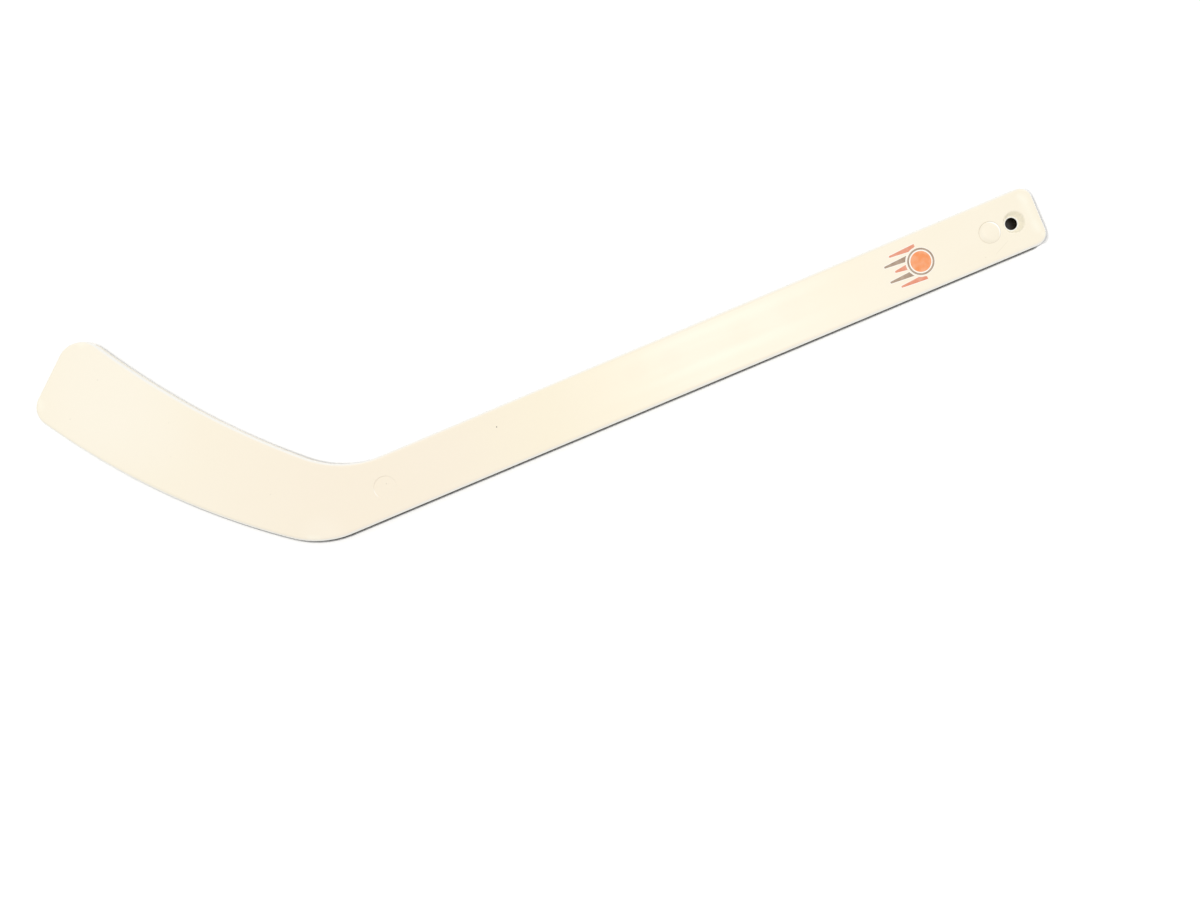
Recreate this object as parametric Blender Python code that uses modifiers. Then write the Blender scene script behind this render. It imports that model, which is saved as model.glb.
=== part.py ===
# Mini hockey stick: blade and shaft in one flat plastic moulding, with a printed mark near the butt.
# It lies on its back: +X runs along the shaft to the butt, +Y to the toe side and +Z to the printed face.
# The flat shape is drawn as a sketch of lines, arcs and fillets. The sketch starts at the heel point,
# where the lower edges of shaft and blade would meet if the heel weren't rounded.
import math

import bmesh
import bpy
from mathutils import Vector

# Shaft
SHAFT_LENGTH = 0.4195  # heel point to butt end
SHAFT_WIDTH = 0.0325
BUTT_CORNER_RADIUS = 0.0070

# Blade
BLADE_ANGLE = math.radians(34.55)  # how far its lower edge turns up from the shaft's line at the heel point
BLADE_LENGTH = 0.1727  # along its lower edge, heel point to toe end
BLADE_LOWER_RADIUS = 0.396  # rocker of the lower edge
BLADE_UPPER_RADIUS = 0.433
BLADE_HEEL_WIDTH = 0.0422
BLADE_TOE_WIDTH = 0.0517
TOE_RAKE = math.radians(10.5)  # how far the toe end leans from square to the lower edge
TOE_LOWER_RADIUS = 0.0109
TOE_UPPER_RADIUS = 0.0135
HEEL_OUTER_RADIUS = 0.0579
HEEL_INNER_RADIUS = 0.0555

# Moulding
THICKNESS = 0.0080
EDGE_RADIUS = 0.0020  # rounds both rims of the outline
EDGE_STEPS = 4

# Hanging hole: two bowls, one from each face, meet in a narrow neck at half the thickness
HOLE_TO_BUTT = 0.0147
HOLE_MOUTH_DIAMETER = 0.0120
HOLE_NECK_DIAMETER = 0.0067
HOLE_NECK_LENGTH = 0.0007
HOLE_LAND_WIDTH = 0.0005  # flat rim round the neck, at the foot of each bowl
HOLE_BOWL_RADIUS = 0.0068  # radius of the bowl's wall, seen in section
HOLE_LIP_RADIUS = 0.0004

# Crowned pin mark beside the hole, inside a fine ring
CROWN_TO_BUTT = 0.0290
CROWN_MARK_DIAMETER = 0.0122
CROWN_RING_WIDTH = 0.0004
CROWN_RING_DEPTH = 0.0003
CROWN_RISE = 0.00040
CROWN_FULLNESS = 3.0  # power of the falling curve: the higher, the flatter the top and the steeper the rim

# Sunk gate mark at the heel, with the stub of the trimmed gate
GATE_TO_HEEL = 0.0425
GATE_MARK_DIAMETER = 0.0127
GATE_MARK_DEPTH = 0.00018
GATE_STUB_DIAMETER = 0.0009
GATE_STUB_RISE = 0.00012
GATE_STUB_OFFSET = 0.0015  # towards the toe side

# Printed mark: a puck, drawn as a disc in a ring, with tapering streaks behind it, in thin ink
PRINT_TO_BUTT = 0.0745  # to the middle of the mark
PRINT_LENGTH = 0.0265
PUCK_DIAMETER = 0.0145
PUCK_RING_WIDTH = 0.0010
PUCK_RING_GAP = 0.0007
STREAK_COUNT = 5
STREAK_PITCH = 0.0043
STREAK_HEIGHT = 0.0029
STREAK_TAIL_HEIGHT = 0.0010
STREAK_STAGGER = 0.0045  # by which every other streak is shorter
STREAK_TO_PUCK = 0.0010
INK_THICKNESS = 0.00012
INK_GAP = 0.0003  # clearance of the ink film to the face it lies on

ARC_STEPS = 16  # straight pieces in each arc of the outline
CROWN_STEPS = 7  # straight pieces down the crown's section
TURN_STEPS = 48  # straight pieces round each turned shape
OVERCUT = 0.0010  # how far a cutter stands clear of the face it cuts

WIDEST_ROUNDING = 0.48  # no two roundings meet: each is at most this share of the wall between them
SHARP_ANGLE = math.radians(30)
WELD_DISTANCE = 0.000001


def clear_scene():
    for old in list(bpy.data.objects):
        bpy.data.objects.remove(old, do_unlink=True)


def new_collection(name):
    collection = bpy.data.collections.new(name)
    bpy.context.scene.collection.children.link(collection)
    return collection


def plastic(name, colour, roughness):
    """A moulded plastic or an ink: one colour, no metal."""
    material = bpy.data.materials.new(name)
    material.use_nodes = True
    shader = material.node_tree.nodes["Principled BSDF"]
    shader.inputs["Base Color"].default_value = (*colour, 1.0)
    shader.inputs["Roughness"].default_value = roughness
    shader.inputs["Metallic"].default_value = 0.0
    return material


def meet(point, direction, centre, radius, near):
    """Where a line crosses a circle, taking the crossing nearer to a given point."""
    along = direction.normalized()
    reach = (point - centre).dot(along)
    half_chord = math.sqrt(radius ** 2 - ((point - centre).length_squared - reach ** 2))
    crossings = [point + along * (-reach + side * half_chord) for side in (-1, 1)]
    return min(crossings, key=lambda crossing: (crossing - near).length)


def on_circle(centre, radius, towards):
    return centre + (towards - centre).normalized() * radius


def turned_vector(vector, angle):
    return Vector((vector.x * math.cos(angle) - vector.y * math.sin(angle),
                   vector.x * math.sin(angle) + vector.y * math.cos(angle)))


def stick_outline():
    """The outline's knots, anticlockwise: a point and the centre of the arc that follows it, or None."""
    heel = Vector((0, 0))
    along_shaft = Vector((1, 0))

    # Lower edge of the blade: leaves the heel point at the blade's angle and curls up towards the toe
    into_blade = Vector((math.sin(BLADE_ANGLE), math.cos(BLADE_ANGLE)))
    lower_centre = heel + into_blade * BLADE_LOWER_RADIUS
    toe_inwards = turned_vector(into_blade, -BLADE_LENGTH / BLADE_LOWER_RADIUS)
    toe = lower_centre - toe_inwards * BLADE_LOWER_RADIUS

    # Upper edge of the blade: an arc through the blade's width at the heel point and at the toe
    upper_heel = heel + into_blade * BLADE_HEEL_WIDTH
    upper_toe = toe + toe_inwards * BLADE_TOE_WIDTH
    chord = upper_toe - upper_heel
    rise = math.sqrt(BLADE_UPPER_RADIUS ** 2 - chord.length_squared / 4)
    upper_centre = (upper_heel + upper_toe) / 2 + Vector((chord.y, -chord.x)).normalized() * rise

    # Toe end: a straight line through the toe, leaning by the rake
    toe_line = turned_vector(toe_inwards, TOE_RAKE)
    toe_outwards = Vector((-toe_line.y, toe_line.x))

    # Fillets: each centre lies its radius inside or outside of the two edges that it joins
    outer = meet(Vector((0, HEEL_OUTER_RADIUS)), along_shaft,
                 lower_centre, BLADE_LOWER_RADIUS - HEEL_OUTER_RADIUS, heel)
    inner = meet(Vector((0, SHAFT_WIDTH + HEEL_INNER_RADIUS)), along_shaft,
                 upper_centre, BLADE_UPPER_RADIUS - HEEL_INNER_RADIUS, upper_heel)
    toe_lower = meet(toe - toe_outwards * TOE_LOWER_RADIUS, toe_line,
                     lower_centre, BLADE_LOWER_RADIUS - TOE_LOWER_RADIUS, toe)
    toe_upper = meet(toe - toe_outwards * TOE_UPPER_RADIUS, toe_line,
                     upper_centre, BLADE_UPPER_RADIUS + TOE_UPPER_RADIUS, upper_toe)
    butt_radius = min(BUTT_CORNER_RADIUS, SHAFT_WIDTH * WIDEST_ROUNDING)
    butt_lower = Vector((SHAFT_LENGTH - butt_radius, butt_radius))
    butt_upper = Vector((butt_lower.x, SHAFT_WIDTH - butt_radius))

    return [
        (Vector((butt_lower.x, 0)), butt_lower),
        (Vector((SHAFT_LENGTH, butt_lower.y)), None),
        (Vector((SHAFT_LENGTH, butt_upper.y)), butt_upper),
        (Vector((butt_upper.x, SHAFT_WIDTH)), None),
        (Vector((inner.x, SHAFT_WIDTH)), inner),
        (on_circle(upper_centre, BLADE_UPPER_RADIUS, inner), upper_centre),
        (on_circle(upper_centre, BLADE_UPPER_RADIUS, toe_upper), toe_upper),
        (toe_upper + toe_outwards * TOE_UPPER_RADIUS, None),
        (toe_lower + toe_outwards * TOE_LOWER_RADIUS, toe_lower),
        (on_circle(lower_centre, BLADE_LOWER_RADIUS, toe_lower), lower_centre),
        (on_circle(lower_centre, BLADE_LOWER_RADIUS, outer), outer),
        (Vector((outer.x, 0)), None),
    ]


def arc_handles(start, end, centre):
    """The two Bezier handles that make a curve from start to end follow the arc round its centre."""
    from_centre = start - centre
    to_centre = end - centre
    side = 1 if from_centre.cross(to_centre) > 0 else -1
    angle = from_centre.angle(to_centre)
    pull = math.tan(angle / 4) * 4 / 3 * side
    leaving = start + Vector((-from_centre.y, from_centre.x)) * pull
    arriving = end - Vector((-to_centre.y, to_centre.x)) * pull
    return leaving, arriving


def flat_curve(name, thickness):
    """An empty 2D curve that fills what its splines enclose, to the given thickness about Z = 0."""
    curve = bpy.data.curves.new(name, "CURVE")
    curve.dimensions = "2D"
    curve.fill_mode = "BOTH"
    curve.extrude = thickness / 2
    curve.resolution_u = ARC_STEPS
    curve.render_resolution_u = 0
    return curve


def draw_arcs(curve, knots):
    """One closed spline through the knots of an outline, straight where a knot has no arc centre."""
    spline = curve.splines.new("BEZIER")
    spline.bezier_points.add(len(knots) - 1)
    spline.use_cyclic_u = True
    spline.resolution_u = ARC_STEPS
    points = spline.bezier_points
    for index, (position, centre) in enumerate(knots):
        following = (index + 1) % len(knots)
        points[index].co = position.to_3d()
        if centre is None:
            points[index].handle_right_type = "VECTOR"
            points[following].handle_left_type = "VECTOR"
            continue
        leaving, arriving = arc_handles(position, knots[following][0], centre)
        points[index].handle_right_type = "FREE"
        points[following].handle_left_type = "FREE"
        points[index].handle_right = leaving.to_3d()
        points[following].handle_left = arriving.to_3d()


def curve_to_mesh(curve_object):
    """A mesh object in the curve's place, with its two faces welded to its side and each made one face."""
    bpy.context.view_layer.update()
    evaluated = curve_object.evaluated_get(bpy.context.evaluated_depsgraph_get())
    mesh = bpy.data.meshes.new_from_object(evaluated)
    shape = bmesh.new()
    shape.from_mesh(mesh)
    bmesh.ops.remove_doubles(shape, verts=shape.verts, dist=WELD_DISTANCE)
    faces_up_or_down = {face for face in shape.faces if abs(face.normal.z) > math.cos(SHARP_ANGLE)}
    inner_edges = [edge for edge in shape.edges if all(face in faces_up_or_down for face in edge.link_faces)]
    bmesh.ops.dissolve_edges(shape, edges=inner_edges, use_verts=False)
    bmesh.ops.recalc_face_normals(shape, faces=shape.faces)
    shape.to_mesh(mesh)
    shape.free()

    name = curve_object.name
    curve = curve_object.data
    solid = bpy.data.objects.new(name + "_solid", mesh)
    solid.matrix_world = curve_object.matrix_world
    for collection in curve_object.users_collection:
        collection.objects.link(solid)
    bpy.data.objects.remove(curve_object, do_unlink=True)
    bpy.data.curves.remove(curve)
    solid.name = name
    mesh.name = name
    return solid


def smooth(shape):
    shape.data.shade_smooth()
    shape.data.set_sharp_from_angle(angle=SHARP_ANGLE)


def turned(name, profile, collection, location):
    """A solid turned round its own Z axis, from (radius, height) pairs that run down its outer side.

    A profile that starts and ends on the axis makes a solid, and one that returns to its start a ring.
    """
    mesh = bpy.data.meshes.new(name)
    edges = [(index, index + 1) for index in range(len(profile) - 1)]
    if profile[0][0] > 0:
        edges.append((len(profile) - 1, 0))
    mesh.from_pydata([(radius, 0, height) for radius, height in profile], edges, [])
    shape = bpy.data.objects.new(name, mesh)
    shape.location = location
    collection.objects.link(shape)
    screw = shape.modifiers.new("turn", "SCREW")
    screw.axis = "Z"
    screw.angle = math.tau
    screw.steps = TURN_STEPS
    screw.render_steps = TURN_STEPS
    screw.use_merge_vertices = True
    screw.merge_threshold = WELD_DISTANCE
    return shape


def as_tool(shape):
    shape.hide_render = True
    shape.display_type = "WIRE"
    return shape


def combine(shape, tool, operation):
    boolean = shape.modifiers.new(tool.name, "BOOLEAN")
    boolean.operation = operation
    boolean.solver = "EXACT"
    boolean.object = tool


def section_arc(start, end, radius, bulge, steps):
    """Points of an arc from start to end in a section, bulging to the left (1) or right (-1) of the way."""
    chord = end - start
    rise = math.sqrt(radius ** 2 - chord.length_squared / 4)
    centre = (start + end) / 2 + Vector((chord.y, -chord.x)).normalized() * rise * bulge
    sweep = 2 * math.asin(chord.length / (2 * radius)) * -bulge
    return [centre + turned_vector(start - centre, sweep * step / steps) for step in range(steps + 1)]


def hole_profile():
    """Half section of the hanging hole: lip, bowl, land, neck, and the same again to the back face."""
    half = THICKNESS / 2
    mouth = HOLE_MOUTH_DIAMETER / 2
    neck = HOLE_NECK_DIAMETER / 2
    lip_top = Vector((mouth + HOLE_LIP_RADIUS, half))
    lip_foot = Vector((mouth, half - HOLE_LIP_RADIUS))
    neck_top = Vector((neck, HOLE_NECK_LENGTH / 2))
    bowl_foot = neck_top + Vector((HOLE_LAND_WIDTH, 0))
    lip = section_arc(lip_top, lip_foot, HOLE_LIP_RADIUS, -1, 3)
    bowl = section_arc(lip_foot, bowl_foot, HOLE_BOWL_RADIUS, 1, 8)
    upper = [Vector((0, half + OVERCUT)), Vector((lip_top.x, half + OVERCUT))] + lip + bowl[1:] + [neck_top]
    lower = [Vector((point.x, -point.y)) for point in reversed(upper)]
    return [(point.x, point.y) for point in upper + lower]


def crown_profile():
    """Half section of the crowned disc. It ends under the middle of the ring that is cut round it."""
    radius = (CROWN_MARK_DIAMETER - CROWN_RING_WIDTH) / 2
    shares = [step / CROWN_STEPS for step in range(CROWN_STEPS + 1)]
    cap = [(radius * share, CROWN_RISE * (1 - share ** CROWN_FULLNESS)) for share in shares]
    foot = -CROWN_RING_DEPTH / 2
    return cap + [(radius, foot), (0, foot)]


def crown_ring_profile():
    """Section of the fine ring that is cut round the crowned disc."""
    outside = CROWN_MARK_DIAMETER / 2
    inside = outside - CROWN_RING_WIDTH
    return [(inside, OVERCUT), (outside, OVERCUT), (outside, -CROWN_RING_DEPTH), (inside, -CROWN_RING_DEPTH)]


def gate_mark_profile():
    """Half section of the sunk disc of the gate mark."""
    radius = GATE_MARK_DIAMETER / 2
    return [(0, OVERCUT), (radius, OVERCUT), (radius, -GATE_MARK_DEPTH), (0, -GATE_MARK_DEPTH)]


def gate_stub_profile():
    """Half section of the trimmed gate's stub, which stands on the sunk disc."""
    radius = GATE_STUB_DIAMETER / 2
    top = GATE_STUB_RISE - GATE_MARK_DEPTH
    foot = -GATE_MARK_DEPTH - OVERCUT
    return [(0, top), (radius * 0.7, top), (radius, top - GATE_STUB_RISE / 2), (radius, foot), (0, foot)]


def box_middle(mesh):
    """Middle of a mesh's box, seen from above."""
    xs = [vertex.co.x for vertex in mesh.vertices]
    ys = [vertex.co.y for vertex in mesh.vertices]
    return Vector(((min(xs) + max(xs)) / 2, (min(ys) + max(ys)) / 2))


def on_shaft(middle, x, height, aside=0.0):
    """World place of a point on the shaft's centre line, at x from the heel point, or aside of it."""
    return (x - middle.x, SHAFT_WIDTH / 2 + aside - middle.y, height)


def make_moulding(parts, tools):
    """The one-piece blade and shaft, with its hanging hole and the two round moulding marks.

    It is centred on its own box. Returns the middle of the sketch, which the print is placed by too.
    """
    curve = flat_curve("stick_moulding", THICKNESS)
    draw_arcs(curve, stick_outline())
    sketch = bpy.data.objects.new("stick_moulding", curve)
    parts.objects.link(sketch)
    stick = curve_to_mesh(sketch)
    middle = box_middle(stick.data)
    stick.location = (-middle.x, -middle.y, THICKNESS / 2)

    rounding = stick.modifiers.new("edge_rounding", "BEVEL")
    rounding.width = min(EDGE_RADIUS, THICKNESS * WIDEST_ROUNDING)
    rounding.segments = EDGE_STEPS
    rounding.limit_method = "ANGLE"
    rounding.angle_limit = SHARP_ANGLE * 2

    hole_at = on_shaft(middle, SHAFT_LENGTH - HOLE_TO_BUTT, THICKNESS / 2)
    crown_at = on_shaft(middle, SHAFT_LENGTH - CROWN_TO_BUTT, THICKNESS)
    gate_at = on_shaft(middle, GATE_TO_HEEL, THICKNESS)
    stub_at = on_shaft(middle, GATE_TO_HEEL, THICKNESS, GATE_STUB_OFFSET)
    steps = [
        ("hanging_hole", hole_profile(), hole_at, "DIFFERENCE"),
        ("crown", crown_profile(), crown_at, "UNION"),
        ("crown_ring", crown_ring_profile(), crown_at, "DIFFERENCE"),
        ("gate_mark", gate_mark_profile(), gate_at, "DIFFERENCE"),
        ("gate_stub", gate_stub_profile(), stub_at, "UNION"),
    ]
    for index, (name, profile, location, operation) in enumerate(steps):
        tool = as_tool(turned(name, profile, tools, location))
        # Shapes on one axis are turned apart a little, so that their facets cross and share no edge
        tool.rotation_euler.z = index * math.tau / TURN_STEPS / len(steps)
        combine(stick, tool, operation)

    stick.data.materials.append(plastic("cream_plastic", (0.93, 0.86, 0.70), 0.38))
    smooth(stick)
    return middle


def circle_knots(centre, radius):
    """Knots of a full circle, as four arcs."""
    start = Vector((radius, 0))
    return [(centre + turned_vector(start, quarter * math.pi / 2), centre) for quarter in range(4)]


def streak_knots(index, puck_centre):
    """Knots of one streak: it stops short of the puck's ring and narrows to a round tail."""
    middle = (index - (STREAK_COUNT - 1) / 2) * STREAK_PITCH
    tail_radius = STREAK_TAIL_HEIGHT / 2
    is_short = index % 2 == 0
    tail = Vector((-PRINT_LENGTH / 2 + tail_radius + STREAK_STAGGER * is_short, middle))
    clear_radius = PUCK_DIAMETER / 2 + STREAK_TO_PUCK

    def head(y):
        return Vector((puck_centre.x - math.sqrt(max(clear_radius ** 2 - y ** 2, 0)), y))

    return [
        (tail + Vector((0, tail_radius)), tail),
        (tail - Vector((tail_radius, 0)), tail),
        (tail - Vector((0, tail_radius)), None),
        (head(middle - STREAK_HEIGHT / 2), None),
        (head(middle + STREAK_HEIGHT / 2), None),
    ]


def ink_film(name, material, middle, parts):
    """An empty film of ink, resting just clear of the printed face."""
    curve = flat_curve(name, INK_THICKNESS)
    curve.materials.append(material)
    film = bpy.data.objects.new(name, curve)
    film.location = on_shaft(middle, SHAFT_LENGTH - PRINT_TO_BUTT, THICKNESS + INK_GAP + INK_THICKNESS / 2)
    parts.objects.link(film)
    return curve


def make_prints(middle, parts):
    """The printed mark, each patch of ink an object of its own."""
    orange = plastic("orange_ink", (0.95, 0.36, 0.12), 0.45)
    salmon = plastic("salmon_ink", (0.86, 0.33, 0.20), 0.45)
    grey = plastic("grey_ink", (0.38, 0.32, 0.27), 0.45)
    ring_outside = PUCK_DIAMETER / 2
    ring_inside = ring_outside - PUCK_RING_WIDTH
    puck_centre = Vector((PRINT_LENGTH / 2 - ring_outside, 0))

    ring = ink_film("print_puck_ring", grey, middle, parts)
    draw_arcs(ring, circle_knots(puck_centre, ring_outside))
    draw_arcs(ring, circle_knots(puck_centre, ring_inside))
    disc = ink_film("print_puck_disc", orange, middle, parts)
    draw_arcs(disc, circle_knots(puck_centre, ring_inside - PUCK_RING_GAP))
    for index in range(STREAK_COUNT):
        ink = grey if index % 2 else salmon
        streak = ink_film(f"print_streak_{index + 1}", ink, middle, parts)
        draw_arcs(streak, streak_knots(index, puck_centre))


def main():
    clear_scene()
    parts = new_collection("mini_hockey_stick")
    tools = new_collection("cutters")
    middle = make_moulding(parts, tools)
    make_prints(middle, parts)


main()
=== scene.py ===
import math

import bmesh
import bpy
import numpy as np
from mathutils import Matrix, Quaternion, Vector


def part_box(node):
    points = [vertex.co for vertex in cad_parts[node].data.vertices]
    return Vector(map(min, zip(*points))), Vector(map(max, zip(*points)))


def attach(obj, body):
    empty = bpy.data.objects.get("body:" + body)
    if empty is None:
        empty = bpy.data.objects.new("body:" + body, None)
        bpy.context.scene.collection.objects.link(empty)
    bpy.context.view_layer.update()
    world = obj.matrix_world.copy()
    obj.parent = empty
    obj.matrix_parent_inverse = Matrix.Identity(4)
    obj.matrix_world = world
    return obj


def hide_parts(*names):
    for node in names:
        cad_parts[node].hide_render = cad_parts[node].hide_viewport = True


# Looks of the mini hockey stick: an ivory plastic moulding with a pad print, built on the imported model.
# Flat shapes are worked out in the sketch that the stick is drawn in, in millimetres: x runs from the
# heel point up the shaft to the butt, y from the lower edges to the upper ones. Heights start at the floor.

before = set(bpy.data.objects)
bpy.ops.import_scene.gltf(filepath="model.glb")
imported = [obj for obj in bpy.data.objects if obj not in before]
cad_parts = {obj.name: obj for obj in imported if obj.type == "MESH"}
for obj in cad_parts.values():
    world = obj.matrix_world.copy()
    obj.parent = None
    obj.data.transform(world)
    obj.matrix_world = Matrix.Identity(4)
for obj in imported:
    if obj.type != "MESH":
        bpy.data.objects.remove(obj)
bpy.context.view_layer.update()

stick = {
    "shaftLength": 419.5,  # heel point to butt end
    "shaftWidth": 32.5,
    "buttCorner": 7.0,
    "bladeTurn": 34.55,  # degrees that the lower edge of the blade turns up from the shaft's line
    "bladeLength": 172.3,  # along its lower edge, heel point to toe end
    "lowerRocker": 396.0,  # radii of the blade's long edges
    "upperRocker": 433.0,
    "heelWidth": 41.4,  # of the blade at both ends
    "toeWidth": 50.1,
    "toeRake": 10.5,  # degrees that the toe end leans from square to the lower edge
    "toeLowerCorner": 10.9,
    "toeUpperCorner": 13.5,
    "heelOuter": 50.0,  # fillet radii
    "heelInner": 55.5,
    "thickness": 8.0,
}


# Small sums on flat points

def unit(vector):
    # The vector divided by its length
    return vector / np.hypot(*vector)


def turned(vector, degrees):
    # The vector turned to the left
    angle = math.radians(degrees)
    return np.array((vector[0] * math.cos(angle) - vector[1] * math.sin(angle),
                     vector[0] * math.sin(angle) + vector[1] * math.cos(angle)))


def pointing(degrees):
    # A step of 1 that way, in degrees from the shaft's line
    return turned(np.array((1.0, 0.0)), degrees)


def skyward(turn, rise):
    # A step of 1 that way, in degrees round from the shaft's line and up from the floor
    rise = math.radians(rise)
    return np.append(pointing(turn) * math.cos(rise), math.sin(rise))


def around(angle):
    # Points on a circle with a radius of 1, at angles in radians
    return np.stack((np.cos(angle), np.sin(angle)), -1)


def crossing(point, heading, centre, radius, near):
    # Where a line meets a circle, on the side nearer to a given point
    reach = (point - centre) @ heading
    halfChord = math.sqrt(radius ** 2 - ((point - centre) @ (point - centre) - reach ** 2))
    found = [point + heading * (-reach + side * halfChord) for side in (-1, 1)]
    return min(found, key=lambda place: np.hypot(*(place - near)))


def onCircle(centre, radius, towards):
    # The point of a circle that lies towards another point
    return centre + unit(towards - centre) * radius


def smoothStep(value, low, high):
    # 0 below low, 1 above high, and a smooth S between them
    share = np.clip((value - low) / (high - low), 0, 1)
    return share * share * (3 - 2 * share)


def centreOf(mark):
    # Middle of a round mark or of the print, which stands off the butt end or off the heel point
    x = stick["shaftLength"] - mark["toButt"] if "toButt" in mark else mark["toHeel"]
    return np.array((x, stick["shaftWidth"] / 2 + mark.get("aside", 0.0)))


def inScene(point, height):
    # A sketch point at a height, both in mm, as a place in the scene in metres
    return np.append(point - sketchMiddle, height) * 0.001


# Outline of the stick

def stickEdges():
    # Both long edges from butt to toe, as (start, end, arc centre or None). The rocker arcs start at the
    # heel point and across the blade from it, and each fillet's centre lies its radius inside or outside
    # of the two edges it joins.
    s = stick
    heel = np.zeros(2)
    alongShaft = pointing(0.0)
    intoBlade = pointing(90 - s["bladeTurn"])
    lowerCentre = intoBlade * s["lowerRocker"]
    toeInwards = turned(intoBlade, -math.degrees(s["bladeLength"] / s["lowerRocker"]))
    toe = lowerCentre - toeInwards * s["lowerRocker"]

    upperHeel = intoBlade * s["heelWidth"]
    upperToe = toe + toeInwards * s["toeWidth"]
    chord = upperToe - upperHeel
    rise = math.sqrt(s["upperRocker"] ** 2 - chord @ chord / 4)
    upperCentre = (upperHeel + upperToe) / 2 + unit(np.array((chord[1], -chord[0]))) * rise

    toeLine = turned(toeInwards, s["toeRake"])
    toeOut = np.array((-toeLine[1], toeLine[0]))
    outer = crossing(np.array((0, s["heelOuter"])), alongShaft,
                     lowerCentre, s["lowerRocker"] - s["heelOuter"], heel)
    inner = crossing(np.array((0, s["shaftWidth"] + s["heelInner"])), alongShaft,
                     upperCentre, s["upperRocker"] - s["heelInner"], upperHeel)
    toeLower = crossing(toe - toeOut * s["toeLowerCorner"], toeLine,
                        lowerCentre, s["lowerRocker"] - s["toeLowerCorner"], toe)
    toeUpper = crossing(toe - toeOut * s["toeUpperCorner"], toeLine,
                        upperCentre, s["upperRocker"] + s["toeUpperCorner"], upperToe)

    butt, corner, width = s["shaftLength"], s["buttCorner"], s["shaftWidth"]

    def joined(edgeY, cornerY, heelFillet, rocker, rockerCentre, toeCorner, toeFillet):
        # Each knot has the centre of the arc that follows it, or None before a line
        knots = [
            (np.array((butt, cornerY)), np.array((butt - corner, cornerY))),
            (np.array((butt - corner, edgeY)), None),
            (np.array((heelFillet[0], edgeY)), heelFillet),
            (onCircle(rockerCentre, rocker, heelFillet), rockerCentre),
            (onCircle(rockerCentre, rocker, toeFillet), toeFillet),
            (toeFillet + toeOut * toeCorner, None),
        ]
        return [(first[0], second[0], first[1]) for first, second in zip(knots, knots[1:])]

    return (joined(0.0, corner, outer, s["lowerRocker"], lowerCentre, s["toeLowerCorner"], toeLower),
            joined(width, width - corner, inner, s["upperRocker"], upperCentre,
                   s["toeUpperCorner"], toeUpper))


def arcFacts(start, end, centre):
    # Radius, first angle and turn of an arc
    radius = np.hypot(*(start - centre))
    first = math.atan2(*(start - centre)[::-1])
    last = math.atan2(*(end - centre)[::-1])
    turn = (last - first + math.pi) % (2 * math.pi) - math.pi
    return radius, first, turn


def pieceLength(start, end, centre):
    # Of a line, the distance between its ends, and of an arc, its radius times its turn
    if centre is None:
        return np.hypot(*(end - start))
    radius, first, turn = arcFacts(start, end, centre)
    return radius * abs(turn)


def alongEdge(pieces, distance, side, slack=1e-9):
    # Points at given distances along lines and arcs that join smoothly, and the directions that point out
    # of the stick there: the heading turned a quarter to the left on the lower edge, right on the upper.
    # The slack is for rounding errors.
    points = np.zeros((len(distance), 2))
    heading = np.zeros((len(distance), 2))
    begun = 0.0
    for start, end, centre in pieces:
        length = pieceLength(start, end, centre)
        here = distance >= begun - slack
        gone = distance[here] - begun
        if centre is None:
            heading[here] = unit(end - start)
            points[here] = start + gone[:, None] * unit(end - start)
        else:
            radius, first, turn = arcFacts(start, end, centre)
            angle = first + turn * gone / length
            points[here] = centre + radius * around(angle)
            heading[here] = np.sign(turn) * np.stack((-np.sin(angle), np.cos(angle)), -1)
        begun += length
    return points, side * np.stack((-heading[:, 1], heading[:, 0]), -1)


rungs = {  # grid lines across the stick, counted between landmarks
    "across": 48,  # cells from the lower edge to the upper
    "corner": 14,
    "beforeHole": 1,
    "shaft": 208,
    "heel": 34,
    "blade": 92,
    "toe": 18,
}


def layRungs(lower, upper):
    # Distances along both edges, one pair for each rung, in even steps between shared landmarks.
    # Returns them with the first rung of each of the grid's three blocks for round marks.
    cornerLength = pieceLength(*lower[0])
    cornerX = stick["shaftLength"] - stick["buttCorner"]
    innerX = upper[2][0][0]
    holeX, crownX, gateX = (centreOf(mark)[0] for mark in (hole, crown, gate))
    halfBlock = (holeX - crownX) / 2
    block = rungs["across"] // 2

    def byX(x):
        # Past the start of the inner heel fillet, the upper edge goes on by that arc's length
        bend = stick["heelInner"] * math.asin(max(innerX - x, 0) / stick["heelInner"])
        return cornerLength + cornerX - x, cornerLength + cornerX - max(x, innerX) + bend

    ends = [np.cumsum([0] + [pieceLength(*piece) for piece in pieces]) for pieces in (lower, upper)]
    landmarks = [
        ((0.0, 0.0), 0),
        ((cornerLength, cornerLength), rungs["corner"]),
        (byX(holeX + halfBlock), rungs["beforeHole"]),
        (byX(holeX - halfBlock), block),
        (byX(crownX - halfBlock), block),
        (byX(gateX + halfBlock), rungs["shaft"]),
        (byX(gateX - halfBlock), block),
        ((ends[0][3], ends[1][3]), rungs["heel"]),
        ((ends[0][4], ends[1][4]), rungs["blade"]),
        ((ends[0][5], ends[1][5]), rungs["toe"]),
    ]
    marks, counts = zip(*landmarks)
    numbers = np.cumsum(counts)
    lowerWay, upperWay = (np.interp(np.arange(numbers[-1] + 1), numbers, way) for way in zip(*marks))
    return lowerWay, upperWay, {"hole": numbers[2], "crown": numbers[3], "gate": numbers[5]}


sinks = {  # how the moulding shrank away from a true flat face
    "buttRoll": 45.0,  # radius that the face rolls down on before the butt end
    "buttRollLength": 7.0,
    "trough": 0.035,  # depth along the middle of the shaft
    "troughStart": (60.0, 140.0),  # x where it begins and where it is full
    "troughEnd": (350.0, 380.0),
    "waves": 0.012,  # height of the long waves
    "nickPlace": (390.2, 30.6),
    "nickSize": (1.6, 0.8),
    "nickDepth": 0.22,
}


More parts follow.
